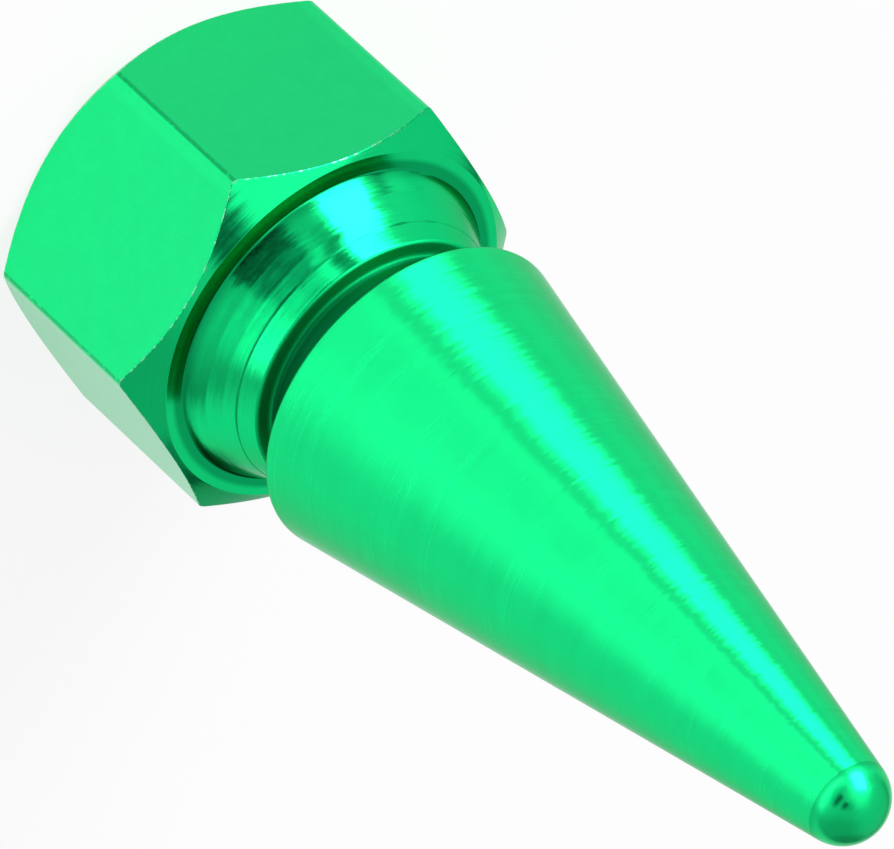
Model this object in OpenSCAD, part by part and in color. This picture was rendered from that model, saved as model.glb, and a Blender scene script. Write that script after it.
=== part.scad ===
// Tyre valve cap turned from hexagonal bar: a chamfered hexagon to grip it by, a tapered collar,
// a square groove and a long round-nosed spike, with a blind threaded bore in the mouth end.
// A rubber washer lies at the bottom of the bore and seals against the end of the valve stem.
// The cap stands on its mouth. The origin is the centre of the mouth face, and +Z runs to the tip.
// All sizes are in millimetres.

/* [Hexagon] */
// Width across the flats
hex_af = 12; // [11.5:0.5:16]
// Length from the mouth face to the face that the collar stands on
hex_len = 7.5; // [7:0.5:12]
// Angle of both end chamfers, measured from the end face
chamfer_angle = 40; // [30:1:45]
// How far inside the flats each chamfer ends
face_inset = 0.15; // [0.1:0.05:0.25]
// Radius along the six long edges
hex_edge_r = 0.3; // [0.1:0.05:0.5]

/* [Collar] */
// Diameter at the foot of the collar
foot_d = 10.5; // [9.8:0.1:10.6]
// Diameter at the front of the collar
collar_front_d = 8.75; // [8.25:0.25:9.5]
// Length of the collar
collar_len = 2.2; // [1.8:0.1:4]
// Radius of the hollow fillet round the foot
foot_fillet_r = 0.1; // [0.05:0.05:0.5]
// Radius of the collar's front edge
collar_edge_r = 0.25; // [0.1:0.05:0.4]

/* [Groove] */
// Diameter at the bottom of the groove
groove_d = 7.4; // [6.8:0.1:7.6]
// Width of the groove
groove_w = 1.6; // [0.8:0.1:3]
// Radius that the grooving tool leaves in both inside corners
groove_corner_r = 0.2; // [0.1:0.05:0.3]

/* [Spike] */
// Diameter at the back of the spike
spike_d = 10.35; // [9.5:0.05:11.5]
// Length from the back of the spike to the tip
spike_len = 21.7; // [10:0.1:40]
// Radius of the rounded tip
tip_r = 1.37; // [0.8:0.01:2.5]
// Radius of the spike's back edge
rim_edge_r = 0.15; // [0.1:0.05:0.5]

/* [Bore] */
// Diameter at the crests of the internal thread, 7.7 mm nominal with 32 turns to the inch
thread_crest_d = 6.9; // [6.8:0.05:7.1]
// Depth from the mouth face to the seat of the washer
bore_depth = 8; // [7:0.5:9]
// Diameter of the countersink at the mouth
mouth_d = 8.4; // [7.8:0.1:9]
// Diameter of the relief that the washer lies in
relief_d = 8.2; // [7.9:0.1:8.4]
// Length of the relief
relief_len = 1.5; // [1.4:0.1:2]
// Angle of the drill point beyond the seat
drill_angle = 118; // [90:1:140]

/* [Washer] */
// Thickness of the washer
washer_t = 1.2; // [0.8:0.1:1.3]
// Diameter of the hole that clears the valve's pin
washer_hole_d = 4.4; // [3:0.2:5.6]
// Radius of the washer's edges
washer_edge_r = 0.15; // [0.1:0.05:0.3]
// Clearance between the washer and the wall of the relief
washer_gap = 0.05; // [0.02:0.01:0.1]

/* [Hidden] */

// Flat faces on each rounded corner and on the quarter of the tip's outline
corner_steps = 6;
tip_steps = 18;
// How far a cut starts outside the face that it opens
cut_margin = 1;

// Hexagon
hex_sides = 6;
hex_corner_r = hex_af / 2 / cos(180 / hex_sides);
end_face_r = hex_af / 2 - face_inset;
chamfer_h = (hex_corner_r - end_face_r) * tan(chamfer_angle);

// Heights of the steps along the nose
collar_z = hex_len + collar_len;
rim_z = collar_z + groove_w;
tip_z = rim_z + spike_len;

// Spike: the cone from the back edge touches the sphere of the tip at this angle
tip_centre_z = tip_z - tip_r;
spike_r = spike_d / 2;
centre_reach = norm([spike_r, tip_centre_z - rim_z]);
cone_angle = acos(tip_r / centre_reach) - atan2(tip_centre_z - rim_z, spike_r);
cone_top = [tip_r * cos(cone_angle), tip_centre_z + tip_r * sin(cone_angle)];

// Bore
crest_r = thread_crest_d / 2;
relief_r = relief_d / 2;
mouth_r = mouth_d / 2;
relief_z = bore_depth - relief_len;
drill_tip_z = bore_depth + crest_r / tan(drill_angle / 2);

function unit(v) = v / norm(v);

// Turn from direction a to direction b, the short way round
function turn(a, b) = atan2(cross(a, b), a * b);

// Points of an arc about a centre, from one angle to another
function arc(centre, r, from, to, steps) =
    [for (i = [0:steps]) let (t = from + (to - from) * i / steps) centre + r * [cos(t), sin(t)]];

// Corner at p between its neighbours a and b, rounded to the radius r
function corner(a, p, b, r) =
    r == 0 ? [p] :
    let (
        u = unit(a - p),
        v = unit(b - p),
        half = acos(u * v) / 2,
        centre = p + unit(u + v) * r / sin(half),
        first = p + u * r / tan(half) - centre,
        last = p + v * r / tan(half) - centre,
        start = atan2(first[1], first[0])
    )
    arc(centre, r, start, start + turn(first, last), corner_steps);

// Closed outline through points given as [x, y, corner radius]
function rounded(points) =
    let (n = len(points), at = [for (p = points) [p[0], p[1]]])
    [for (i = [0:n - 1]) each corner(at[(i + n - 1) % n], at[i], at[(i + 1) % n], points[i][2])];

// A list without its first member
function rest(list) = [for (i = [1:len(list) - 1]) list[i]];

// Hexagonal bar with rounded long edges, as long as the whole cap
module bar() {
    section = [
        for (i = [0:hex_sides - 1])
            let (a = i * 360 / hex_sides)
            [hex_corner_r * cos(a), hex_corner_r * sin(a), hex_edge_r]
    ];
    linear_extrude(tip_z)
        polygon(rounded(section));
}

// Everything that the lathe leaves of the bar's outside, by [radius, height, corner radius]
module turned_outside() {
    steps = [
        [0, 0, 0],
        [end_face_r, 0, 0],
        [hex_corner_r, chamfer_h, 0],
        [hex_corner_r, hex_len - chamfer_h, 0],
        [end_face_r, hex_len, 0],
        [foot_d / 2, hex_len, foot_fillet_r],
        [collar_front_d / 2, collar_z, collar_edge_r],
        [groove_d / 2, collar_z, groove_corner_r],
        [groove_d / 2, rim_z, groove_corner_r],
        [spike_r, rim_z, rim_edge_r],
        [cone_top[0], cone_top[1], 0],
    ];
    tip = arc([0, tip_centre_z], tip_r, cone_angle, 90, tip_steps);
    rotate_extrude($fn = 96)
        polygon(concat(rounded(steps), rest(tip)));
}

// Countersink, threaded length, relief and drill point, as one cut
module bore() {
    rotate_extrude($fn = 96)
        polygon([
            [0, -cut_margin],
            [mouth_r + cut_margin, -cut_margin],
            [crest_r, mouth_r - crest_r],
            [crest_r, relief_z - (relief_r - crest_r)],
            [relief_r, relief_z],
            [relief_r, bore_depth],
            [crest_r, bore_depth],
            [0, drill_tip_z],
        ]);
}

module cap_body() {
    color("mediumseagreen")
        difference() {
            intersection() {
                bar();
                turned_outside();
            }
            bore();
        }
}

// Washer pressed up against the seat, inside the relief
module seal_washer() {
    inner_r = washer_hole_d / 2;
    outer_r = relief_r - washer_gap;
    low = bore_depth - washer_t;
    color("dimgray")
        rotate_extrude($fn = 96)
            polygon(rounded([
                [inner_r, low, washer_edge_r],
                [outer_r, low, washer_edge_r],
                [outer_r, bore_depth, washer_edge_r],
                [inner_r, bore_depth, washer_edge_r],
            ]));
}

cap_body();
seal_washer();
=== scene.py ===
"""Look of a tyre valve cap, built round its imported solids.

Run as a script it registers its operators, calls them in order and leaves the dressed cap on a
pale floor, lit as in a small studio. Lengths in the tables are millimetres, and Blender's metres
come from MM.
"""

import math
from collections import namedtuple

import bpy
import numpy as np
from mathutils import Matrix, Vector


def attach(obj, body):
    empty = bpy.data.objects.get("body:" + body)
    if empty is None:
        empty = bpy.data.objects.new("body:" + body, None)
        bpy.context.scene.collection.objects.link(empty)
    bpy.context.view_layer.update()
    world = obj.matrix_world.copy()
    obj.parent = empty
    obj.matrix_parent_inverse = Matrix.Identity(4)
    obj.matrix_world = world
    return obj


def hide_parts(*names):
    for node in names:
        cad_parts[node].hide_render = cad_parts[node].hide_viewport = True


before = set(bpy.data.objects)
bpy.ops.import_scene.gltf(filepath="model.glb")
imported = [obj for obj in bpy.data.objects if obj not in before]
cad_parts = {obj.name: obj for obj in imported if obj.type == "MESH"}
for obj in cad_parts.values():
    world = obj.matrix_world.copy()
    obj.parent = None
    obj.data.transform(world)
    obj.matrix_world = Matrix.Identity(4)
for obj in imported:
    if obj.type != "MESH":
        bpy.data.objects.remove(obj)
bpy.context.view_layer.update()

bl_info = {
    "name": "Tyre Valve Cap",
    "version": (1, 0, 0),
    "blender": (4, 5, 0),
    "location": "3D View > Sidebar > Valve Cap",
    "description": "Turned hexagonal valve cap with its thread, washer, finishes and studio",
    "category": "Add Mesh",
}

MM = 0.001

# Hexagonal bar
HEX_SIDES = 6
FLAT_R = 6.0
HEX_EDGE_R = 0.3
HEX_TOP = 7.5
END_FACE_R = 5.85
CHAMFER_SLOPE = math.tan(math.radians(40))

# Collar, in the facets that the tool left between its foot and its front: radius, height, radius
# of the corner, faces round it, rows on to the next
COLLAR_FOOT_R = 5.25
COLLAR_FACETS = [(4.912, 8.15, 0.5, 2, 1), (4.679, 8.65, 0.5, 2, 1),
                 (4.505, 9.05, 0.01, 1, 0), (4.485, 9.06, 0.01, 1, 1)]
COLLAR_FRONT_R = 4.22
COLLAR_TOP = 9.7
GROOVE_R = 3.7

# Bore
CREST_R = 3.45
MOUTH_R = 4.2
RELIEF_R = 4.1
RELIEF_Z = 6.5
SEAT_Z = 8.0
DRILL_TIP_Z = SEAT_Z + CREST_R / math.tan(math.radians(59))

# Spike
SPIKE_BACK = 11.3
SPIKE_R = 5.175
TIP_Z = 33.0
TIP_R = 1.37

# Washer
WASHER_LOW = 6.8
WASHER_IN = 2.2
WASHER_OUT = 4.05

# Columns of faces round one side of the hexagon, on each rounded edge and on each flat
EDGE_STEPS = 8
FLAT_STEPS = 40
# Rows of faces to one pitch of the thread
PITCH_ROWS = 16
# Distance of the row, and angle of the column, that keep a face flat up to its rounded edge
HOLD = 0.03
HOLD_ANGLE = math.radians(0.15)
# Mouth of the thread's groove and length of its flank, as shares of half a pitch
THREAD_MOUTH = 0.75
THREAD_FLANK = 0.625


class CapSizes(bpy.types.PropertyGroup):
    """Sizes of the detail that the solids leave out"""

    pitch: bpy.props.FloatProperty(
        name="Thread Pitch",
        description="Rise of the internal thread in one turn",
        default=0.79375 * MM, min=0.5 * MM, max=1.2 * MM, precision=5, unit="LENGTH")
    root_radius: bpy.props.FloatProperty(
        name="Thread Root Radius",
        description="Radius at the bottom of the thread's grooves",
        default=3.87 * MM, min=3.6 * MM, max=4.0 * MM, precision=5, unit="LENGTH")
    edge_break: bpy.props.FloatProperty(
        name="Edge Break",
        description="Radius on the edges that the tools leave nearly sharp",
        default=0.035 * MM, min=0.01 * MM, max=0.08 * MM, precision=5, unit="LENGTH")
    burr: bpy.props.FloatProperty(
        name="Rim Unevenness",
        description="Depth of the small nicks round the back edge of the spike",
        default=0.035 * MM, min=0.0, max=0.06 * MM, precision=5, unit="LENGTH")


class CapFinish(bpy.types.PropertyGroup):
    """Colours and surface of the cap"""

    dye: bpy.props.FloatVectorProperty(
        name="Anodised Colour",
        description="Colour of the dyed oxide on the aluminium",
        default=(0.006, 0.93, 0.28), size=3, min=0.0, max=1.0, subtype="COLOR")
    spike_roughness: bpy.props.FloatProperty(
        name="Spike Roughness",
        description="Roughness of the long taper",
        default=0.3, min=0.05, max=0.8, subtype="FACTOR")
    turned_roughness: bpy.props.FloatProperty(
        name="Turned Roughness",
        description="Roughness of the collar and the faces",
        default=0.17, min=0.05, max=0.8, subtype="FACTOR")
    tip_roughness: bpy.props.FloatProperty(
        name="Tip Roughness",
        description="Roughness of the rounded tip",
        default=0.33, min=0.05, max=0.8, subtype="FACTOR")
    groove_roughness: bpy.props.FloatProperty(
        name="Groove Roughness",
        description="Roughness inside the groove",
        default=0.5, min=0.05, max=0.8, subtype="FACTOR")
    drawn_roughness: bpy.props.FloatProperty(
        name="Flat Roughness",
        description="Roughness of the bar's drawn flats",
        default=0.3, min=0.05, max=0.8, subtype="FACTOR")
    rubber: bpy.props.FloatVectorProperty(
        name="Rubber Colour",
        description="Colour of the sealing washer",
        default=(0.022, 0.021, 0.02), size=3, min=0.0, max=1.0, subtype="COLOR")


class CapStudio(bpy.types.PropertyGroup):
    """Floor and light"""

    floor_colour: bpy.props.FloatVectorProperty(
        name="Floor Colour",
        description="Colour of the plain floor",
        default=(0.9, 0.9, 0.9), size=3, min=0.0, max=1.0, subtype="COLOR")
    floor_radius: bpy.props.FloatProperty(
        name="Floor Radius",
        description="Radius of the round floor",
        default=1.5, min=0.5, max=4.0, unit="LENGTH")
    backdrop_share: bpy.props.FloatProperty(
        name="Backdrop Share",
        description="How much of the floor that is seen straight is an even white backdrop",
        default=0.85, min=0.0, max=1.0, subtype="FACTOR")
    mirrored_share: bpy.props.FloatProperty(
        name="Mirrored Share",
        description="How much of the floor that is seen in the cap is an even white backdrop",
        default=0.6, min=0.0, max=1.0, subtype="FACTOR")


def hexagon_columns():
    """Angles of the columns round the cap and the bar's radius at each."""
    side_angle = 2 * math.pi / HEX_SIDES
    centre = (FLAT_R - HEX_EDGE_R) / math.cos(side_angle / 2)
    turn = np.linspace(-side_angle / 2, side_angle / 2, EDGE_STEPS + 1)
    x, y = centre + HEX_EDGE_R * np.cos(turn), HEX_EDGE_R * np.sin(turn)
    edge = np.arctan2(y, x)
    hold = edge[-1] + HOLD_ANGLE
    flat = np.linspace(hold, side_angle - hold, FLAT_STEPS + 1)
    side = np.concatenate([edge, flat])
    radius = np.concatenate([np.hypot(x, y), FLAT_R / np.cos(flat - side_angle / 2)])
    angles = np.concatenate([side + k * side_angle for k in range(HEX_SIDES)])
    return angles, np.tile(radius, HEX_SIDES)


def unit(v):
    return v / np.linalg.norm(v, axis=-1, keepdims=True)


def corner_rows(a, p, b, radius, steps):
    """Rows along the arc that rounds corner p between a and b. Every point is one per column."""
    u, v = unit(a - p), unit(b - p)
    half = np.arccos(np.clip((u * v).sum(-1, keepdims=True), -1, 1)) / 2
    centre = p + unit(u + v) * radius / np.sin(half)
    first, last = p + u * radius / np.tan(half) - centre, p + v * radius / np.tan(half) - centre
    sweep = math.pi - 2 * half
    return [centre + (np.sin((1 - t) * sweep) * first + np.sin(t * sweep) * last) / np.sin(sweep)
            for t in np.linspace(0, 1, steps + 1)]


def straight_rows(a, b, count):
    """Rows between two rounded corners, with one held close to either end."""
    near = np.minimum(HOLD / np.linalg.norm(b - a, axis=-1, keepdims=True), 0.2)
    return [a + (b - a) * (near + (1 - 2 * near) * t) for t in np.linspace(0, 1, count + 2)]


def path_rows(corners, columns):
    """Rows of an outline given as (radius, height, corner radius, arc steps, rows on to the next,
    zone). Returns the rows and the zone of the faces that follow each."""
    at = [np.stack([np.full(columns, r, float), np.full(columns, z, float)], -1)
          for r, z, *_ in corners]
    rows, zones = [], []
    last = len(corners) - 1
    for i, (_, _, radius, steps, spans, zone) in enumerate(corners):
        if radius and 0 < i < last:
            here = corner_rows(at[i - 1], at[i], at[i + 1], radius, steps)
        else:
            here = [at[i]]
        rows += here
        zones += [zone] * len(here)
        if i < last:
            nxt = corners[i + 1]
            if nxt[2] and i + 1 < last:
                ahead = corner_rows(at[i], at[i + 1], at[i + 2], nxt[2], 1)[0]
            else:
                ahead = at[i + 1]
            more = straight_rows(here[-1], ahead, spans)
            rows += more
            zones += [zone] * len(more)
    return rows, zones


def thread_rows(angles, pitch, root_r):
    """Rows down the threaded wall, from the relief to the mouth."""
    count = int(round(RELIEF_Z / pitch * PITCH_ROWS))
    blur = np.linspace(-0.5, 0.5, 5) / PITCH_ROWS
    rows = []
    for z in np.linspace(RELIEF_Z, 0, count + 1)[1:-1]:
        groove = np.zeros_like(angles)
        for shift in blur:
            phase = (z / pitch - angles / (2 * math.pi) + shift) % 1.0
            opening = (THREAD_MOUTH - np.abs(2 * phase - 1)) / THREAD_FLANK
            groove += np.clip(opening, 0, 1) / len(blur)
        r = CREST_R + (root_r - CREST_R) * groove
        countersink, run_out = MOUTH_R - z, RELIEF_R - (RELIEF_Z - z)
        r = np.maximum(r, max(countersink, run_out))
        rows.append(np.stack([r, np.full_like(r, z)], -1))
    return rows


def ring_noise(angles, waves, seed, power=1.0):
    """Uneven value round the cap, between 0 and 1, from seeded waves."""
    rng = np.random.default_rng(seed)
    total = np.zeros_like(angles)
    for n in waves:
        total += rng.uniform(0.4, 1.0) * np.cos(n * angles + rng.uniform(0, 2 * math.pi))
    total = (total - total.min()) / (total.max() - total.min())
    return total ** power


def grid_mesh(name, angles, rows, zones, marks=None, closed=False):
    """Mesh of revolution-like rows. Unless it is closed on itself it starts and ends on the axis,
    with its first and last row as single points. Marks are named values, one for each point."""
    n = len(angles)
    body = rows if closed else rows[1:-1]
    r = np.array([row[:, 0] for row in body])
    z = np.array([row[:, 1] for row in body])
    co = np.stack([r * np.cos(angles), r * np.sin(angles), z], -1).reshape(-1, 3)
    index = np.arange(len(body) * n).reshape(len(body), n)
    below, above = (index, np.roll(index, -1, 0)) if closed else (index[:-1], index[1:])
    quads = np.stack([below, np.roll(below, -1, 1), np.roll(above, -1, 1), above], -1)
    faces = quads.reshape(-1, 4).tolist()
    slots = np.repeat(zones[:len(below)] if closed else zones[1:len(below) + 1], n).tolist()
    if not closed:
        start, end = len(co), len(co) + 1
        co = np.vstack([co, [0, 0, rows[0][0, 1]], [0, 0, rows[-1][0, 1]]])
        first, final = index[0], index[-1]
        faces += [(start, b, a) for a, b in zip(first, np.roll(first, -1))]
        faces += [(a, b, end) for a, b in zip(final, np.roll(final, -1))]
        slots += [zones[0]] * n + [zones[-1]] * n
    mesh = bpy.data.meshes.new(name)
    mesh.from_pydata((co * MM).tolist(), [], faces)
    mesh.polygons.foreach_set("use_smooth", [True] * len(faces))
    mesh.polygons.foreach_set("material_index", slots)
    for label, values in (marks or {}).items():
        values = np.asarray(values, dtype=np.float32)
        flat = np.concatenate([values.reshape(-1), [values[0, 0], values[-1, 0]]])
        mesh.attributes.new(label, "FLOAT", "POINT").data.foreach_set("value", flat)
    mesh.update()
    obj = bpy.data.objects.new(name, mesh)
    bpy.context.scene.collection.objects.link(obj)
    return obj


def feed(tree, socket, value):
    """Links an input to another node's output, or sets it to a value."""
    if isinstance(value, bpy.types.NodeSocket):
        tree.links.new(value, socket)
    else:
        socket.default_value = value


def add(tree, kind, inputs=None, **settings):
    """Adds a node with its settings, and its inputs linked or set."""
    node = tree.nodes.new(kind)
    for key, value in settings.items():
        setattr(node, key, value)
    for key, value in (inputs or {}).items():
        feed(tree, node.inputs[key], value)
    return node


def calc(tree, operation, *values, clamp=False):
    """Adds a Math node and returns its output."""
    node = add(tree, "ShaderNodeMath", dict(enumerate(values)), operation=operation,
               use_clamp=clamp)
    return node.outputs[0]


def span(tree, value, low, high, to_low=0.0, to_high=1.0):
    """Smooth step of a value from one range to another."""
    node = add(tree, "ShaderNodeMapRange", {"Value": value, "From Min": low, "From Max": high,
               "To Min": to_low, "To Max": to_high}, interpolation_type="SMOOTHSTEP")
    return node.outputs["Result"]


# Places of the colours among the Mix node's sockets
MIX_A, MIX_B, MIX_RESULT = 6, 7, 2


def blend_colour(tree, share, a, b):
    """Mix of two colours."""
    node = add(tree, "ShaderNodeMix", data_type="RGBA")
    for key, value in ((0, share), (MIX_A, a), (MIX_B, b)):
        feed(tree, node.inputs[key], value)
    return node.outputs[MIX_RESULT]


def new_group(name, inputs, outputs):
    """Shader node group with float inputs as (name, default, lowest, highest) and float outputs."""
    tree = bpy.data.node_groups.new(name, "ShaderNodeTree")
    for label, value, low, high in inputs:
        socket = tree.interface.new_socket(label, in_out="INPUT", socket_type="NodeSocketFloat")
        socket.default_value, socket.min_value, socket.max_value = value, low, high
    for label in outputs:
        tree.interface.new_socket(label, in_out="OUTPUT", socket_type="NodeSocketFloat")
    return tree, tree.nodes.new("NodeGroupInput"), tree.nodes.new("NodeGroupOutput")


def place_group(tree, group, **values):
    """Puts a group into a material with its own values. Words in a name are joined by _."""
    node = tree.nodes.new("ShaderNodeGroup")
    node.node_tree = group
    for key, value in values.items():
        node.inputs[key.replace("_", " ")].default_value = value
    return node


def turning_marks_group():
    """Rings that a turning tool or a moulding die leaves, fine ones and coarse ones."""
    name = "Turning Marks"
    if name in bpy.data.node_groups:
        return bpy.data.node_groups[name]
    tree, given, out = new_group(name, [
        ("Rings Per Metre", 8000.0, 100.0, 60000.0),
        ("Breaks Round", 3.0, 0.0, 60.0),
        ("Seed", 0.0, -100.0, 100.0)], ["Height", "Streaks"])
    place = add(tree, "ShaderNodeSeparateXYZ",
                {"Vector": add(tree, "ShaderNodeTexCoord").outputs["Object"]})
    x, y, z = place.outputs
    r = calc(tree, "SQRT", calc(tree, "ADD", calc(tree, "MULTIPLY", x, x),
                                calc(tree, "MULTIPLY", y, y)))
    level = calc(tree, "ABSOLUTE", calc(tree, "SUBTRACT", z, 0.5 * HEX_TOP * MM))
    run = calc(tree, "SUBTRACT", level, r)
    rings = calc(tree, "MULTIPLY", run, given.outputs["Rings Per Metre"])
    safe = calc(tree, "MAXIMUM", r, 0.01 * MM)

    def round_noise(share, breaks, detail):
        across = calc(tree, "MULTIPLY", given.outputs["Breaks Round"], breaks)
        vector = add(tree, "ShaderNodeCombineXYZ", {
            "X": calc(tree, "MULTIPLY", calc(tree, "DIVIDE", x, safe), across),
            "Y": calc(tree, "MULTIPLY", calc(tree, "DIVIDE", y, safe), across),
            "Z": calc(tree, "ADD", calc(tree, "MULTIPLY", rings, share), given.outputs["Seed"])})
        return add(tree, "ShaderNodeTexNoise", {"Vector": vector.outputs[0], "Scale": 1.0,
                   "Detail": detail, "Roughness": 0.55}).outputs["Fac"]

    fine = round_noise(1.0, 1.0, 2.0)
    coarse = round_noise(0.22, 0.6, 1.0)
    height = calc(tree, "ADD", fine, calc(tree, "MULTIPLY", coarse, 0.3))
    tree.links.new(height, out.inputs["Height"])
    streaks = span(tree, round_noise(2.2, 0.8, 1.0), 0.5, 0.75)
    tree.links.new(streaks, out.inputs["Streaks"])
    return tree


def chatter_group():
    """Normal that leans a little to either side round the axis, ring by ring."""
    name = "Chatter"
    if name in bpy.data.node_groups:
        return bpy.data.node_groups[name]
    tree, given, out = new_group(name, [
        ("Rings Per Metre", 3000.0, 100.0, 60000.0),
        ("Lean", 0.05, 0.0, 0.5),
        ("Seed", 0.0, -100.0, 100.0)], [])
    tree.interface.new_socket("Normal", in_out="OUTPUT", socket_type="NodeSocketVector")
    place = add(tree, "ShaderNodeSeparateXYZ",
                {"Vector": add(tree, "ShaderNodeTexCoord").outputs["Object"]})
    x, y, z = place.outputs
    level = add(tree, "ShaderNodeCombineXYZ", {
        "X": calc(tree, "MULTIPLY", x, 150.0), "Y": calc(tree, "MULTIPLY", y, 150.0),
        "Z": calc(tree, "ADD", calc(tree, "MULTIPLY", z, given.outputs["Rings Per Metre"]),
                  given.outputs["Seed"])})
    noise = add(tree, "ShaderNodeTexNoise", {"Vector": level.outputs[0], "Scale": 1.0,
                "Detail": 2.0, "Roughness": 0.7}).outputs["Fac"]
    lean = calc(tree, "MULTIPLY", calc(tree, "SUBTRACT", noise, 0.5), given.outputs["Lean"])
    around = add(tree, "ShaderNodeVectorMath", {0: add(tree, "ShaderNodeCombineXYZ", {
        "X": calc(tree, "MULTIPLY", y, -1.0), "Y": x}).outputs[0]}, operation="NORMALIZE")
    aside = add(tree, "ShaderNodeVectorMath", {0: around.outputs[0], "Scale": lean},
                operation="SCALE")
    leaning = add(tree, "ShaderNodeVectorMath", {
        0: add(tree, "ShaderNodeNewGeometry").outputs["Normal"], 1: aside.outputs[0]},
        operation="ADD")
    normal = add(tree, "ShaderNodeVectorMath", {0: leaning.outputs[0]}, operation="NORMALIZE")
    tree.links.new(normal.outputs[0], out.inputs["Normal"])
    return tree


def mottle_group():
    """Cloudy patches at one size, with finer ones inside them."""
    name = "Mottle"
    if name in bpy.data.node_groups:
        return bpy.data.node_groups[name]
    tree, given, out = new_group(name, [
        ("Patches Per Metre", 700.0, 10.0, 20000.0),
        ("Contrast", 1.0, 0.0, 4.0),
        ("Seed", 0.0, -100.0, 100.0)], ["Patches", "Grain"])
    place = add(tree, "ShaderNodeTexCoord").outputs["Object"]
    for label, share, detail in (("Patches", 1.0, 3.0), ("Grain", 9.0, 2.0)):
        noise = add(tree, "ShaderNodeTexNoise", {
            "Vector": place, "W": given.outputs["Seed"], "Detail": detail, "Roughness": 0.6,
            "Scale": calc(tree, "MULTIPLY", given.outputs["Patches Per Metre"], share)},
            noise_dimensions="4D")
        centred = calc(tree, "SUBTRACT", noise.outputs["Fac"], 0.5)
        value = calc(tree, "ADD", calc(tree, "MULTIPLY", centred, given.outputs["Contrast"]), 0.5,
                     clamp=True)
        tree.links.new(value, out.inputs[label])
    return tree


def broken_edge_group():
    """Mask of the edges, broken up along them. The material says where the edges are."""
    name = "Worn Edge"
    if name in bpy.data.node_groups:
        return bpy.data.node_groups[name]
    tree, given, out = new_group(name, [
        ("Edge", 0.0, 0.0, 1.0),
        ("Breaks Per Metre", 4000.0, 100.0, 40000.0),
        ("Cover", 0.5, 0.0, 1.0)], ["Mask"])
    noise = add(tree, "ShaderNodeTexNoise", {
        "Vector": add(tree, "ShaderNodeTexCoord").outputs["Object"],
        "Scale": given.outputs["Breaks Per Metre"], "Detail": 2.0}).outputs["Fac"]
    limit = calc(tree, "SUBTRACT", 0.75, calc(tree, "MULTIPLY", given.outputs["Cover"], 0.5))
    broken = calc(tree, "DIVIDE", calc(tree, "SUBTRACT", noise, limit), 0.08, clamp=True)
    tree.links.new(calc(tree, "MULTIPLY", given.outputs["Edge"], broken), out.inputs["Mask"])
    return tree


def new_material(name):
    """Material with nothing but its output."""
    material = bpy.data.materials.new(name)
    material.use_nodes = True
    material.node_tree.nodes.clear()
    tree = material.node_tree
    return material, tree, tree.nodes.new("ShaderNodeOutputMaterial")


def rgba(colour, level=1.0):
    return (colour[0] * level, colour[1] * level, colour[2] * level, 1.0)


# Finish of one part of the body: name of its roughness property, stretch of the highlight and its
# turn, rings per metre, breaks round the cap, depth of the marks in mm, lean of the chatter, share
# of dark streaks, patches per metre, their contrast, palest dye, clear coat, tint at a grazing view
Look = namedtuple("Look", "roughness stretch turn rings breaks depth lean streaks patches "
                          "contrast palest coat grazing")
ANODISED = {
    "Anodised spike": Look(
        roughness="spike_roughness", stretch=1.0, turn=0.25, rings=10500.0, breaks=0.9,
        depth=0.0001, lean=0.17, streaks=0.05, patches=220.0, contrast=0.7, palest=0.95,
        coat=0.5, grazing=(0.26, 0.48, 0.4)),
    "Anodised turned faces": Look(
        roughness="turned_roughness", stretch=0.5, turn=0.25, rings=7000.0, breaks=3.0,
        depth=0.001, lean=0.14, streaks=0.1, patches=500.0, contrast=1.0, palest=0.86,
        coat=0.3, grazing=(0.35, 0.6, 0.48)),
    "Anodised drawn flats": Look(
        roughness="drawn_roughness", stretch=0.35, turn=0.0, rings=2500.0, breaks=90.0,
        depth=0.002, lean=0.0, streaks=0.05, patches=1500.0, contrast=1.6, palest=0.93,
        coat=1.0, grazing=(0.62, 0.9, 0.88)),
    "Anodised tip": Look(
        roughness="tip_roughness", stretch=0.2, turn=0.25, rings=6000.0, breaks=3.0,
        depth=0.001, lean=0.1, streaks=0.1, patches=500.0, contrast=1.0, palest=0.88,
        coat=0.45, grazing=(0.5, 0.8, 0.65)),
    # A darker copy of the anodised finish, with little coat and a dark grazing tint: painted shade
    # in the groove
    "Anodised groove with painted shade": Look(
        roughness="groove_roughness", stretch=0.0, turn=0.25, rings=7000.0, breaks=3.0,
        depth=0.002, lean=0.1, streaks=0.1, patches=500.0, contrast=1.0, palest=0.86,
        coat=0.1, grazing=(0.1, 0.4, 0.2)),
}
# Colour of the painted edge highlight, and shares of it and of the painted edge shade where they
# are
EDGE_HIGHLIGHT_COLOUR = (0.35, 0.95, 0.62, 1.0)
EDGE_HIGHLIGHT_SHARE = 0.45
EDGE_SHADE_SHARE = 0.55
# Grain of the mottle in the roughness, and half of it, which keeps the mean where it was set
GRAIN_ROUGHNESS = 0.08
GRAIN_MEAN = 0.04
# Height of the turning marks at which they leave the roughness as it is
MEAN_HEIGHT = 0.65


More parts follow.
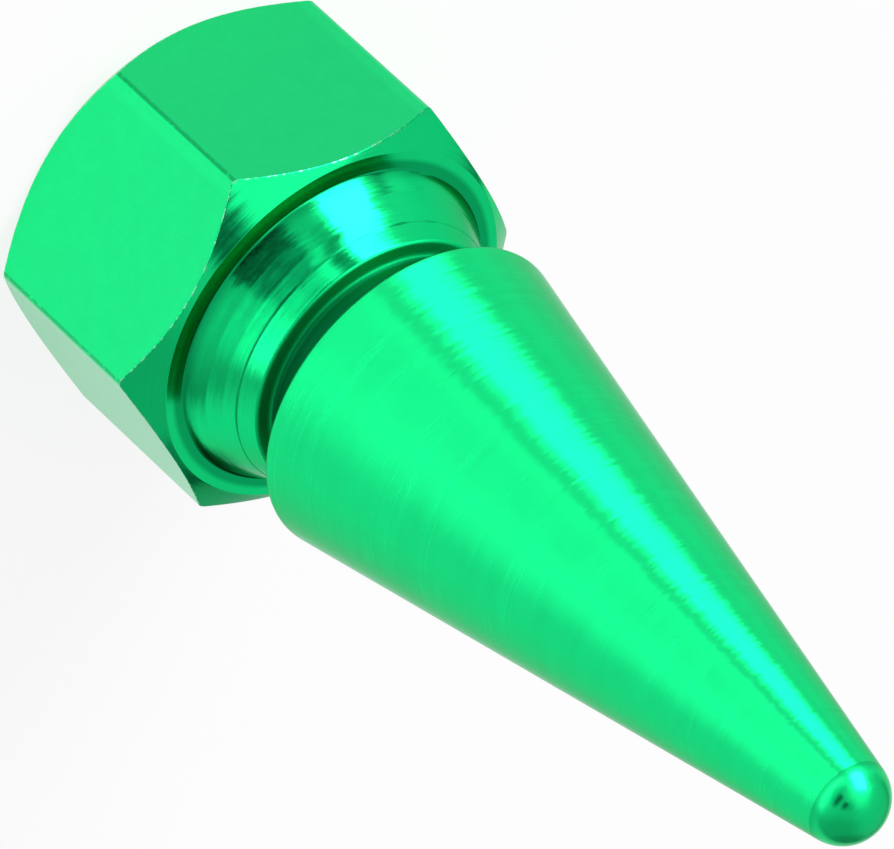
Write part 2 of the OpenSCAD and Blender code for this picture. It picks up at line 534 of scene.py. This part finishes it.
def anodised(name, finish):
    """Green anodised aluminium, turned on the lathe or left as the drawn bar."""
    look, dye = ANODISED[name], finish.dye
    material, tree, out = new_material(name)
    marks = place_group(tree, turning_marks_group(), Rings_Per_Metre=look.rings,
                        Breaks_Round=look.breaks, Seed=2.0)
    mottle = place_group(tree, mottle_group(), Patches_Per_Metre=look.patches,
                         Contrast=look.contrast, Seed=4.0)
    base = blend_colour(tree, mottle.outputs["Patches"], rgba(dye, look.palest), rgba(dye))
    # Painted shade and highlight stored on the mesh scale the dye and the clear coat
    painted_light = add(tree, "ShaderNodeAttribute", attribute_name="painted_light").outputs["Fac"]
    base_with_painted_light = add(tree, "ShaderNodeVectorMath", {0: base, "Scale": painted_light}, operation="SCALE")
    streaked = blend_colour(tree, calc(tree, "MULTIPLY", marks.outputs["Streaks"], look.streaks),
                            base_with_painted_light.outputs[0], rgba(dye, 0.5))
    # Painted highlight along the edges, broken up and partly darkened by painted shade
    edge_highlight = place_group(tree, broken_edge_group(), Breaks_Per_Metre=5000.0, Cover=0.5)
    edge_shade = place_group(tree, broken_edge_group(), Breaks_Per_Metre=5000.0, Cover=0.8)
    for group, label in ((edge_highlight, "painted_edge_highlight"), (edge_shade, "painted_edge_shade")):
        edge = add(tree, "ShaderNodeAttribute", attribute_name=label)
        tree.links.new(edge.outputs["Fac"], group.inputs["Edge"])
    dark = blend_colour(tree, calc(tree, "MULTIPLY", edge_shade.outputs["Mask"], EDGE_SHADE_SHARE),
                        streaked, rgba(dye, 0.3))
    colour = blend_colour(tree, calc(tree, "MULTIPLY", edge_highlight.outputs["Mask"], EDGE_HIGHLIGHT_SHARE), dark,
                          EDGE_HIGHLIGHT_COLOUR)
    ringed = calc(tree, "MULTIPLY", calc(tree, "SUBTRACT", marks.outputs["Height"], MEAN_HEIGHT),
                  0.8 * look.lean)
    rough = calc(tree, "ADD",
                 calc(tree, "ADD", getattr(finish, look.roughness) - GRAIN_MEAN, ringed),
                 calc(tree, "MULTIPLY", mottle.outputs["Grain"], GRAIN_ROUGHNESS))
    chatter = place_group(tree, chatter_group(), Rings_Per_Metre=9000.0, Lean=look.lean, Seed=6.0)
    bump = add(tree, "ShaderNodeBump", {"Strength": 1.0, "Distance": look.depth * MM,
               "Height": marks.outputs["Height"], "Normal": chatter.outputs["Normal"]})
    shader = add(tree, "ShaderNodeBsdfPrincipled", {
        "Base Color": colour, "Metallic": 1.0, "Roughness": rough, "Normal": bump.outputs[0],
        "Specular Tint": rgba(look.grazing), "Anisotropic": look.stretch,
        "Anisotropic Rotation": look.turn,
        "Coat Weight": calc(tree, "MULTIPLY", painted_light, look.coat),
        "Coat Roughness": 0.12, "Coat IOR": 1.2})
    tangent = add(tree, "ShaderNodeTangent", direction_type="RADIAL", axis="Z")
    tree.links.new(tangent.outputs[0], shader.inputs["Tangent"])
    tree.links.new(shader.outputs[0], out.inputs["Surface"])
    return material


def rubber(name, finish):
    """Matt moulded rubber with a dusty bloom."""
    material, tree, out = new_material(name)
    marks = place_group(tree, turning_marks_group(), Rings_Per_Metre=14000.0, Breaks_Round=5.0,
                        Seed=17.0)
    mottle = place_group(tree, mottle_group(), Patches_Per_Metre=900.0, Contrast=1.6, Seed=23.0)
    bloom = blend_colour(tree, mottle.outputs["Patches"], rgba(finish.rubber),
                         rgba(finish.rubber, 1.9))
    speck = span(tree, mottle.outputs["Grain"], 0.62, 0.8)
    colour = blend_colour(tree, calc(tree, "MULTIPLY", speck, 0.25), bloom, (0.12, 0.115, 0.11, 1))
    height = calc(tree, "ADD", calc(tree, "MULTIPLY", marks.outputs["Height"], 0.4),
                  mottle.outputs["Grain"])
    bump = add(tree, "ShaderNodeBump", {"Strength": 0.6, "Distance": 0.02 * MM, "Height": height})
    rough = calc(tree, "ADD", 0.62, calc(tree, "MULTIPLY", mottle.outputs["Patches"], 0.2))
    shader = add(tree, "ShaderNodeBsdfPrincipled", {
        "Base Color": colour, "Metallic": 0.0, "Roughness": rough, "Normal": bump.outputs[0]})
    tree.links.new(shader.outputs[0], out.inputs["Surface"])
    return material


class VALVECAP_OT_studio(bpy.types.Operator):
    """Make the floor, the soft light, the surroundings and the camera"""

    bl_idname = "valve_cap.studio"
    bl_label = "Studio"

    def execute(self, context):
        studio = context.scene.cap_studio
        make_floor(studio)
        make_surroundings()
        for box in SOFTBOXES:
            make_softbox(*box)
        make_camera(context.scene)
        context.scene.view_settings.view_transform = "Standard"
        return {"FINISHED"}


class VALVECAP_OT_body(bpy.types.Operator):
    """Make the turned body with its thread and finish"""

    bl_idname = "valve_cap.body"
    bl_label = "Turned Body"

    def execute(self, context):
        sizes, finish = context.scene.cap_sizes, context.scene.cap_finish
        obj = make_body(sizes)
        for name in ANODISED:
            obj.data.materials.append(anodised(name, finish))
        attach(obj, "root")
        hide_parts("cap_body")
        return {"FINISHED"}


class VALVECAP_OT_washer(bpy.types.Operator):
    """Make the moulded rubber washer in the bore"""

    bl_idname = "valve_cap.washer"
    bl_label = "Sealing Washer"

    def execute(self, context):
        obj = make_washer()
        obj.data.materials.append(rubber("Black moulded rubber", context.scene.cap_finish))
        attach(obj, "root")
        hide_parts("seal_washer")
        return {"FINISHED"}


class VALVECAP_PT_panel(bpy.types.Panel):
    """Sizes, finish, studio and the operators that make the cap"""

    bl_label = "Valve Cap"
    bl_idname = "VALVECAP_PT_panel"
    bl_space_type = "VIEW_3D"
    bl_region_type = "UI"
    bl_category = "Valve Cap"

    def draw(self, context):
        scene = context.scene
        for title, group in (("Sizes", scene.cap_sizes), ("Finish", scene.cap_finish),
                             ("Studio", scene.cap_studio)):
            box = self.layout.box()
            box.label(text=title)
            for key in group.__annotations__:
                box.prop(group, key)
        for operator in STEPS:
            self.layout.operator(operator.bl_idname)


# Finishes of the body, in the order of their materials
SPIKE, TURNED, DRAWN, TIP, GROOVE = 0, 1, 2, 3, 4
# Painted shade on each flat, from the one between the corners at 0 and 60 degrees
FLAT_PAINTED_SHADE = (0.92, 0.77, 1.0, 0.92, 0.88, 0.95)
# Painted shade on parts of the turned faces. It is 1 on the rest
BACK_FACE_PAINTED_SHADE = 0.2
CORE_PAINTED_SHADE = 0.17
GROOVE_PAINTED_SHADE = 0.85
FOOT_PAINTED_SHADE = 0.55
COLLAR_PAINTED_SHADE = 0.8
# Least and most brightness of the painted shade on the tip, darkest where the taper meets it
TIP_PAINTED_SHADE = (0.62, 0.88)
# Painted dark reflections, short strokes on the tip: elevation, first and last azimuth in degrees
TIP_PAINTED_REFLECTIONS = [(33, 126, 150), (43, 129, 147)]
# Patches of painted shade, on one corner of the chamfer and at the foot of the collar:
# azimuth of the middle and reach to either side in degrees, share of the brightness lost
CHAMFER_SHADE_PATCH = (243, 28, 0.6)
FOOT_SHADE_PATCH = (233, 26, 0.6)


def tip_painted_shade(angles, z):
    """Painted shade on the tip, darker in the painted dark reflections and where the taper meets
    the tip.
    """
    lift = np.degrees(np.arcsin(np.clip((z - (TIP_Z - TIP_R)) / TIP_R, -1, 1)))
    azimuth = np.degrees(angles) % 360
    painted_light = np.clip(TIP_PAINTED_SHADE[0] + (lift - 13) / 40, *TIP_PAINTED_SHADE)
    for level, start, end in TIP_PAINTED_REFLECTIONS:
        across = np.clip(1 - np.abs(lift - level) / 4.5, 0, 1)
        along = np.clip((azimuth - start) / 4, 0, 1) * np.clip((end - azimuth) / 9, 0, 1)
        painted_light = painted_light * (1 - 0.9 * across * along)
    return painted_light


def painted_shade_patch(angles, middle, reach, loss):
    """Share of the brightness lost to a patch of painted shade at each column, fading out over 8
    degrees at both ends.
    """
    away = np.abs(np.degrees(angles) % 360 - middle)
    return loss * np.clip((reach - away) / 8, 0, 1)


def turned_painted_shade(angles, r, z, rise):
    """Painted shade along one row of the turned faces."""
    # Painted shade in the groove and its core, on the spike's back face, at the collar's foot and
    # over the collar
    back_face = (np.abs(z - SPIKE_BACK) < 0.1) & (r > GROOVE_R - 0.1)
    groove = (z > COLLAR_TOP - 0.05) & (z < SPIKE_BACK) & (r < COLLAR_FRONT_R - 0.02)
    core = groove & (r < GROOVE_R + 0.05)
    foot = (z > HEX_TOP - 0.05) & (z < HEX_TOP + 0.15) & (r < COLLAR_FOOT_R + 0.35)
    collar = (z > HEX_TOP) & (z < COLLAR_TOP)
    painted_light = np.select([back_face, core, groove, foot, collar],
                     [BACK_FACE_PAINTED_SHADE, CORE_PAINTED_SHADE, GROOVE_PAINTED_SHADE, FOOT_PAINTED_SHADE, COLLAR_PAINTED_SHADE], 1.0)
    # Patches of painted shade on one corner of the chamfer and low on one side of the collar
    chamfer = (r > END_FACE_R + 0.01) & (z > HEX_TOP - rise - 0.03) & (z < HEX_TOP + 0.01)
    low = ((z > HEX_TOP) & (r < COLLAR_FOOT_R + 0.25)) * np.clip((8.7 - z) / 0.7, 0, 1)
    return (painted_light * (1 - chamfer * painted_shade_patch(angles, *CHAMFER_SHADE_PATCH))
            * (1 - low * painted_shade_patch(angles, *FOOT_SHADE_PATCH)))


def make_body(sizes):
    """The whole turned body as one closed mesh."""
    angles, bar_r = hexagon_columns()
    n = len(angles)
    edge = sizes.edge_break / MM
    slope = SPIKE_R, TIP_Z - TIP_R - SPIKE_BACK
    reach = math.hypot(*slope)
    lean = math.acos(TIP_R / reach) - math.atan2(slope[1], slope[0])
    top = TIP_R * math.cos(lean), TIP_Z - TIP_R + TIP_R * math.sin(lean)
    rise = (bar_r - END_FACE_R) * CHAMFER_SLOPE

    inside, inside_zones = path_rows([
        (0.0, DRILL_TIP_Z, 0, 0, 4, TURNED),
        (CREST_R, SEAT_Z, edge, 3, 0, TURNED),
        (RELIEF_R, SEAT_Z, 0.05, 3, 0, TURNED),
        (RELIEF_R, RELIEF_Z, 0, 0, 0, TURNED)], n)
    thread = thread_rows(angles, sizes.pitch / MM, sizes.root_radius / MM)
    outside, outside_zones = path_rows([
        (MOUTH_R, 0.0, 0, 0, 2, TURNED),
        (END_FACE_R, 0.0, edge, 3, 2, TURNED),
        (bar_r, rise, edge, 4, 3, DRAWN),
        (bar_r, HEX_TOP - rise, edge, 4, 2, TURNED),
        (END_FACE_R, HEX_TOP, edge, 3, 2, TURNED),
        (COLLAR_FOOT_R, HEX_TOP, 0.1, 5, 1, TURNED),
        *((*facet, TURNED) for facet in COLLAR_FACETS),
        (COLLAR_FRONT_R, COLLAR_TOP, 0.12, 6, 0, GROOVE),
        (GROOVE_R, COLLAR_TOP, 0.2, 5, 1, GROOVE),
        (GROOVE_R, SPIKE_BACK, 0.2, 5, 2, GROOVE),
        (SPIKE_R, SPIKE_BACK, 0.15, 6, 10, SPIKE),
        (top[0], top[1], 0, 0, 0, TIP)], n)
    tip = [np.tile([TIP_R * math.cos(a), TIP_Z - TIP_R + TIP_R * math.sin(a)], (n, 1))
           for a in np.linspace(lean, math.pi / 2, 30)[1:-1]]
    pole = [np.tile([0.0, TIP_Z], (n, 1))]
    rows = inside + thread + outside + tip + pole
    zones = inside_zones + [TURNED] * len(thread) + outside_zones + [TIP] * (len(tip) + 1)

    nicks = sizes.burr / MM * (0.3 * ring_noise(angles, range(20, 75, 5), 5, 2.0)
                               + 0.7 * ring_noise(angles, range(7, 40, 3), 9, 7.0))
    past_corner = (np.degrees(angles) + 30) % 60 - 30
    # Painted shade on each flat, with a painted highlight just past each corner of the bar
    flat_painted_light = np.array(FLAT_PAINTED_SHADE)[(np.degrees(angles) // 60).astype(int) % HEX_SIDES]
    flat_painted_light = flat_painted_light + 0.06 * ((past_corner > 0.2) & (past_corner < 3))
    marks = {"painted_edge_highlight": [], "painted_edge_shade": [], "painted_light": []}
    for row, zone in zip(rows, zones):
        r, z = row[:, 0], row[:, 1]
        back = np.clip(1 - np.abs(z - SPIKE_BACK - 0.04) / 0.1, 0, 1) * (r > SPIKE_R - 0.2)
        row[:, 0] -= back * nicks
        # Places of the painted highlight and shade: the chamfers' edges, the spike's rim and one
        # side of each long edge
        front = np.hypot(r - bar_r, z - (HEX_TOP - rise)) < 0.6 * edge
        low = np.hypot(r - bar_r, z - rise) < 0.6 * edge
        painted_edge_line = (np.abs(past_corner + 0.4) < 0.45) & (zone == DRAWN)
        painted_light = flat_painted_light if zone == DRAWN else turned_painted_shade(angles, r, z, rise)
        if zone == TIP:
            painted_light = tip_painted_shade(angles, z)
        marks["painted_edge_highlight"].append(np.where(front | low, 1.0, 0.5 * (back > 0.5)))
        marks["painted_edge_shade"].append(np.where(painted_edge_line, 1.0, np.where(front, 0.8, 0.0)))
        marks["painted_light"].append(painted_light)
    marks = {label: values[1:-1] for label, values in marks.items()}
    return grid_mesh("turned_body", angles, rows, zones, marks)


def make_washer():
    """The washer, with its rounded edges and the thin line where the two halves of a mould met."""
    angles = np.linspace(0, 2 * math.pi, 160, endpoint=False)
    n = len(angles)
    middle = (WASHER_LOW + SEAT_Z) / 2
    flash = 0.04
    loop = [
        (WASHER_IN, middle - flash, 0.015), (WASHER_IN - 0.05 + flash, middle, 0.015),
        (WASHER_IN, middle + flash, 0.015), (WASHER_IN, SEAT_Z, 0.15),
        (WASHER_OUT, SEAT_Z, 0.15), (WASHER_OUT, WASHER_LOW, 0.15),
        (3.35, WASHER_LOW, 0.04), (3.25, WASHER_LOW + 0.06, 0.04),
        (2.75, WASHER_LOW + 0.06, 0.04), (2.65, WASHER_LOW, 0.04),
        (WASHER_IN, WASHER_LOW, 0.15)]
    at = [np.tile([r, z], (n, 1)).astype(float) for r, z, _ in loop]
    rows = []
    for i, (_, _, radius) in enumerate(loop):
        rows += corner_rows(at[i - 1], at[i], at[(i + 1) % len(loop)], radius, 5)
    return grid_mesh("sealing_washer", angles, rows, [0] * len(rows), closed=True)


# Name, azimuth and elevation of its middle in degrees, distance, width, height, level
SOFTBOXES = [
    ("Strip light", 67, 21, 0.5, 0.27, 0.38, 7.0),
]
# Dark openings and a pale card in the surroundings: azimuth, elevation, angle to the outer edge
# and to the core in degrees, share of the level inside
SPOTS = [
    (137, 19, 14, 10, 0.02),
    (118, 12, 14, 10, 0.01),
    (135, 62, 12, 6, 0.1),
    (84, 58, 30, 14, 1.9),
    (275, 12, 24, 13, 0.4),
    (40, 8, 6, 3, 0.03),
    (40, 18, 6, 3, 0.03),
    (40, 28, 6, 3, 0.03),
]
# Level of the surroundings near the horizon by azimuth, and high up
LOW_LEVELS = [(-180, 0.6), (-160, 0.5), (-140, 0.3), (-110, 0.2), (-60, 0.15), (5, 0.15),
              (8, 1.1), (12, 1.1), (14, 0.05), (20, 0.05), (22, 1.1), (83, 1.1), (85, 0.02),
              (94, 0.02), (97, 0.62), (180, 0.6)]
HIGH_LEVEL = 0.65
# Dimmer part of the high surroundings: azimuth and elevation of its middle, level there
HIGH_DIM = (233, 37, 0.42)
# Level of the bright band along the horizon, azimuth of its middle, and azimuth of the middle of
# the half circle that it stays in
HORIZON_LEVEL = 6.4
HORIZON_MIDDLE = 133
HORIZON_SIDE = 187

# Camera that the photo's outline gives: its place in mm, then its right, down and forward
CAMERA_PLACE = (-208.36160118, 258.23306981, 258.07310327)
CAMERA_AXES = ((0.80252008, 0.08761752, 0.59015649),
               (-0.31723011, -0.77508157, 0.5464555),
               (0.5052985, -0.62575693, -0.59422361))
CAMERA_LENS = 583.918


def heading(azimuth, elevation):
    """Direction from the cap to a point of the surroundings."""
    a, e = math.radians(azimuth), math.radians(elevation)
    return Vector((math.cos(e) * math.cos(a), math.cos(e) * math.sin(a), math.sin(e)))


def make_floor(studio):
    """Round pale floor just under the mouth. It is clear from below, so the mouth can be seen."""
    steps = 96
    ring = [(studio.floor_radius * math.cos(2 * math.pi * i / steps),
             studio.floor_radius * math.sin(2 * math.pi * i / steps), -0.02 * MM)
            for i in range(steps)]
    mesh = bpy.data.meshes.new("floor")
    mesh.from_pydata(ring, [], [list(range(steps))])
    floor = bpy.data.objects.new("floor", mesh)
    bpy.context.scene.collection.objects.link(floor)
    material, tree, out = new_material("Pale floor paper")
    mottle = place_group(tree, mottle_group(), Patches_Per_Metre=60.0, Contrast=0.5, Seed=3.0)
    painted_light = blend_colour(tree, mottle.outputs["Patches"], rgba(studio.floor_colour, 0.985),
                        rgba(studio.floor_colour))
    paper = add(tree, "ShaderNodeBsdfDiffuse", {"Color": painted_light, "Roughness": 0.6})
    white = add(tree, "ShaderNodeEmission", {"Color": (1, 1, 1, 1), "Strength": 1.0})
    path = add(tree, "ShaderNodeLightPath")
    mirrored = calc(tree, "MAXIMUM", path.outputs["Is Glossy Ray"],
                    path.outputs["Is Transmission Ray"])
    share = calc(tree, "MAXIMUM",
                 calc(tree, "MULTIPLY", path.outputs["Is Camera Ray"], studio.backdrop_share),
                 calc(tree, "MULTIPLY", mirrored, studio.mirrored_share))
    lit = add(tree, "ShaderNodeMixShader", {0: share, 1: paper.outputs[0], 2: white.outputs[0]})
    clear = add(tree, "ShaderNodeBsdfTransparent")
    side = add(tree, "ShaderNodeMixShader", {
        0: add(tree, "ShaderNodeNewGeometry").outputs["Backfacing"],
        1: lit.outputs[0], 2: clear.outputs[0]})
    tree.links.new(side.outputs[0], out.inputs["Surface"])
    mesh.materials.append(material)


def make_surroundings():
    """Pale surroundings, dimmer on one side, with dark openings above a bright band."""
    world = bpy.data.worlds.new("Studio surroundings")
    bpy.context.scene.world = world
    world.use_nodes = True
    tree = world.node_tree
    tree.nodes.clear()
    way = add(tree, "ShaderNodeTexCoord").outputs["Generated"]

    def facing(direction):
        return add(tree, "ShaderNodeVectorMath", {0: way, 1: direction},
                   operation="DOT_PRODUCT").outputs["Value"]

    x, y, z = add(tree, "ShaderNodeSeparateXYZ", {"Vector": way}).outputs
    turn = calc(tree, "ADD", calc(tree, "DIVIDE", calc(tree, "ARCTAN2", y, x), 2 * math.pi), 0.5)
    low = add(tree, "ShaderNodeValToRGB", {"Fac": turn})
    stops = low.color_ramp.elements
    while len(stops) < len(LOW_LEVELS):
        stops.new(1.0)
    for stop, (azimuth, value) in zip(stops, LOW_LEVELS):
        stop.position, stop.color = azimuth / 360 + 0.5, (value, value, value, 1.0)
    *dim_middle, dim_level = HIGH_DIM
    high = span(tree, facing(heading(*dim_middle)), 0.7, 0.97, HIGH_LEVEL, dim_level)
    share = span(tree, z, 0.06, 0.2)
    level = calc(tree, "ADD", calc(tree, "MULTIPLY", share, high), calc(
        tree, "MULTIPLY", calc(tree, "SUBTRACT", 1.0, share), low.outputs["Color"]))
    for azimuth, elevation, edge, core, inside in SPOTS:
        spot = span(tree, facing(heading(azimuth, elevation)), math.cos(math.radians(edge)),
                    math.cos(math.radians(core)), 1.0, inside)
        level = calc(tree, "MULTIPLY", level, spot)
    near = span(tree, facing(heading(HORIZON_MIDDLE, 0)), 0.41, 0.97, 0.0, 1.2)
    cut = span(tree, facing(heading(HORIZON_SIDE, 0)), 0.0, 0.06)
    band = span(tree, calc(tree, "ABSOLUTE", z), 0.05, 0.08, 1.0, 0.0)
    glow = calc(tree, "MULTIPLY", calc(tree, "MULTIPLY", near, cut), band)
    level = calc(tree, "ADD", level, calc(tree, "MULTIPLY", glow, HORIZON_LEVEL))
    back = add(tree, "ShaderNodeBackground", {"Color": (1, 1, 1, 1), "Strength": level})
    out = tree.nodes.new("ShaderNodeOutputWorld")
    tree.links.new(back.outputs[0], out.inputs["Surface"])


def make_softbox(name, azimuth, elevation, distance, width, height, level):
    """Area lamp that faces the cap, as bright as a white card times its level."""
    lamp = bpy.data.lights.new(name, "AREA")
    lamp.shape = "RECTANGLE"
    lamp.size, lamp.size_y = width, height
    lamp.energy = level * math.pi * width * height
    obj = bpy.data.objects.new(name, lamp)
    aim = Vector((0, 0, 0.5 * TIP_Z * MM))
    away = heading(azimuth, elevation)
    obj.location = aim + away * distance
    obj.rotation_euler = (-away).to_track_quat("-Z", "Y").to_euler()
    obj.visible_camera = False
    bpy.context.scene.collection.objects.link(obj)


def make_camera(scene):
    """Camera at the photo's viewing angle."""
    camera = bpy.data.cameras.new("Camera")
    camera.lens, camera.sensor_width = CAMERA_LENS, 36.0
    camera.clip_start, camera.clip_end = 0.01, 10.0
    obj = bpy.data.objects.new("Camera", camera)
    right, down, forward = (Vector(axis) for axis in CAMERA_AXES)
    turn = Matrix((right, -down, -forward)).transposed().to_4x4()
    obj.matrix_world = Matrix.Translation(Vector(CAMERA_PLACE) * MM) @ turn
    scene.collection.objects.link(obj)
    scene.camera = obj


STEPS = (VALVECAP_OT_studio, VALVECAP_OT_body, VALVECAP_OT_washer)
CLASSES = (CapSizes, CapFinish, CapStudio, *STEPS, VALVECAP_PT_panel)


def register():
    for cls in CLASSES:
        bpy.utils.register_class(cls)
    bpy.types.Scene.cap_sizes = bpy.props.PointerProperty(type=CapSizes)
    bpy.types.Scene.cap_finish = bpy.props.PointerProperty(type=CapFinish)
    bpy.types.Scene.cap_studio = bpy.props.PointerProperty(type=CapStudio)


def unregister():
    del bpy.types.Scene.cap_sizes, bpy.types.Scene.cap_finish, bpy.types.Scene.cap_studio
    for cls in reversed(CLASSES):
        bpy.utils.unregister_class(cls)


def main():
    register()
    bpy.ops.valve_cap.studio()
    bpy.ops.valve_cap.body()
    bpy.ops.valve_cap.washer()


if __name__ == "__main__":
    main()
